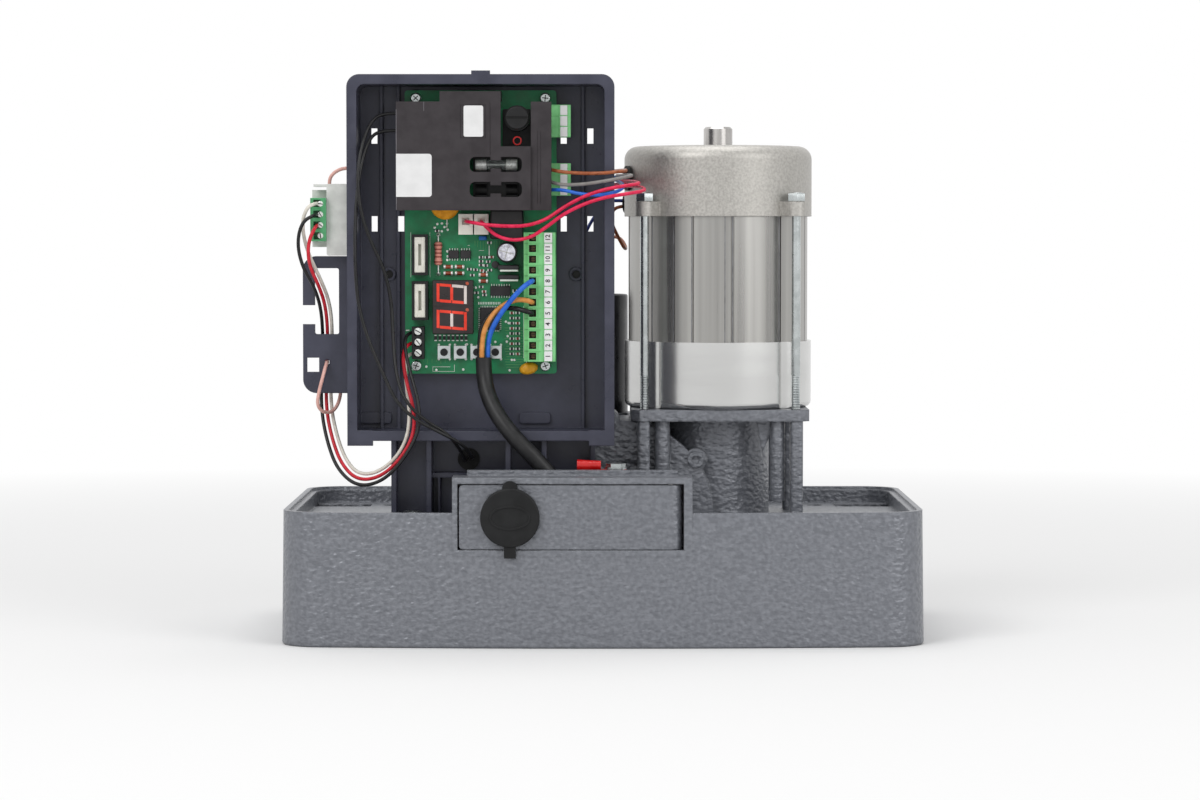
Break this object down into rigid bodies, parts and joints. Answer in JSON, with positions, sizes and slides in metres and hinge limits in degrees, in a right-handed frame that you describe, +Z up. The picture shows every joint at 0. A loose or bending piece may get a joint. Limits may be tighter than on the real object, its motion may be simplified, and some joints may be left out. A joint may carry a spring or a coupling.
{
  "type": "sliding gate motor",
  "caption": "Sliding gate motor with its cover off: upright motor on a cast base, control board in a tray, keyed release door at the front and rack pinion behind.",
  "frame": {"origin": "on the ground, midway between the four foot slots", "axes": "+X to the right as seen from the release door, +Y towards the rack, +Z up"},
  "size_m": [0.3018, 0.2201, 0.2688],
  "materials": {
    "base_paint": "hammered grey enamel",
    "cast_aluminium": "rough cast",
    "turned_aluminium": "turned bright",
    "stator_steel": "ground laminations",
    "shaft_steel": "ground",
    "gear_steel": "machined, oiled",
    "zinc_steel": "zinc plated",
    "bronze": "hobbed bronze",
    "copper_enamel": "varnished winding",
    "tray_plastic": "fine grain",
    "cover_plastic": "fine grain",
    "door_plastic": "satin grey",
    "black_plastic": "satin black",
    "black_rubber": "matt",
    "board_green": "solder resist",
    "terminal_green": "moulded",
    "white_plastic": "moulded",
    "sensor_grey": "satin",
    "red_plastic": "crimp sleeve",
    "component_dark": "moulded",
    "display_white": "segment face",
    "clear_glass": "clear",
    "core_blue": "wire sleeve",
    "lead_black": "wire sleeve",
    "lead_white": "wire sleeve",
    "lead_brown": "wire sleeve",
    "lead_crimson": "wire sleeve",
    "lead_navy": "wire sleeve"
  },
  "bodies": {
    "base": {"base_casting": "base_paint", "levelling_screws": "zinc_steel", "output_bearings": "shaft_steel", "gear_cover": "cast_aluminium", "cover_screws": "zinc_steel", "shaft_seal": "black_rubber", "motor_bearings": "shaft_steel", "lower_shield": "turned_aluminium", "stator_stack": "stator_steel", "stator_winding": "copper_enamel", "upper_shield": "cast_aluminium", "tie_bolts": "zinc_steel", "run_capacitor": "black_plastic", "hinge_pin": "shaft_steel", "control_tray": "tray_plastic", "tray_screws": "zinc_steel", "cable_grommets": "black_rubber", "control_board": "board_green", "board_screws": "zinc_steel", "transformer": "component_dark", "board_cover": "cover_plastic", "fuse_holder": "black_plastic", "glass_fuse": "clear_glass", "board_terminals": "terminal_green", "sensor_input_block": "black_plastic", "card_sockets": "black_plastic", "white_connectors": "white_plastic", "digit_display": "display_white", "board_components": "component_dark", "button_housings": "zinc_steel", "earth_lug": "red_plastic", "earth_screw": "zinc_steel", "sensor_bracket": "tray_plastic", "limit_sensor": "sensor_grey", "sensor_terminal": "terminal_green", "mains_cable": "black_rubber", "mains_cores": "core_blue", "accessory_leads": "lead_black", "sensor_wires": "lead_white", "motor_leads": "lead_brown", "thermal_leads": "lead_crimson", "capacitor_leads": "lead_navy"},
    "output": {"output_shaft": "shaft_steel", "worm_wheel": "bronze", "pinion": "gear_steel", "pinion_clip": "shaft_steel"},
    "clutch": {"clutch_ring": "gear_steel"},
    "rotor": {"rotor_shaft": "shaft_steel", "rotor_core": "stator_steel"},
    "rod": {"release_rod": "zinc_steel"},
    "door": {"release_door": "door_plastic", "lock_barrel": "zinc_steel"},
    "plug": {"lock_plug": "zinc_steel"},
    "cap": {"lock_cap": "black_plastic"},
    "fuse_cap": {"fuse_cap": "black_plastic"},
    "button_1": {"button_1": "black_plastic"},
    "button_2": {"button_2": "black_plastic"},
    "button_3": {"button_3": "black_plastic"},
    "button_4": {"button_4": "black_plastic"}
  },
  "joints": [
    {"name": "pinion_turn", "type": "hinge", "parent": "base", "child": "output", "pos_m": [0.0075, 0, 0.057], "axis": [0, 1, 0], "continuous": true},
    {"name": "motor_spin", "type": "hinge", "parent": "base", "child": "rotor", "pos_m": [0.056, 0, 0.057], "axis": [0, 0, 1], "continuous": true},
    {"name": "release_door_swing", "type": "hinge", "parent": "base", "child": "door", "pos_m": [0.0315, -0.08659, 0.061], "axis": [0, 0, 1], "range_deg": [0, 90]},
    {"name": "release_rod_slide", "type": "slide", "parent": "base", "child": "rod", "axis": [0, -1, 0], "range_m": [0, 0.005]},
    {"name": "clutch_slide", "type": "slide", "parent": "output", "child": "clutch", "axis": [0, -1, 0], "range_m": [0, 0.005]},
    {"name": "lock_plug_turn", "type": "hinge", "parent": "door", "child": "plug", "pos_m": [-0.0431, -0.085, 0.061], "axis": [0, 1, 0], "range_deg": [0, 90]},
    {"name": "lock_cap_swing", "type": "hinge", "parent": "door", "child": "cap", "pos_m": [-0.0431, -0.094, 0.0732], "axis": [0, 1, 0], "range_deg": [-100, 100]},
    {"name": "fuse_cap_turn", "type": "hinge", "parent": "base", "child": "fuse_cap", "pos_m": [-0.0404, -0.058, 0.2467], "axis": [0, 1, 0], "range_deg": [0, 90]},
    {"name": "button_1_press", "type": "slide", "parent": "base", "child": "button_1", "axis": [0, 1, 0], "range_m": [0, 0.0003], "stiffness_N_per_m": 300},
    {"name": "button_2_press", "type": "slide", "parent": "base", "child": "button_2", "axis": [0, 1, 0], "range_m": [0, 0.0003], "stiffness_N_per_m": 300},
    {"name": "button_3_press", "type": "slide", "parent": "base", "child": "button_3", "axis": [0, 1, 0], "range_m": [0, 0.0003], "stiffness_N_per_m": 300},
    {"name": "button_4_press", "type": "slide", "parent": "base", "child": "button_4", "axis": [0, 1, 0], "range_m": [0, 0.0003], "stiffness_N_per_m": 300}
  ],
  "couplings": [
    {"joint": "motor_spin", "follows": "pinion_turn", "ratio": 30},
    {"joint": "release_rod_slide", "follows": "release_door_swing", "m_per_rad": 0.003183},
    {"joint": "clutch_slide", "follows": "release_door_swing", "m_per_rad": 0.003183}
  ]
}
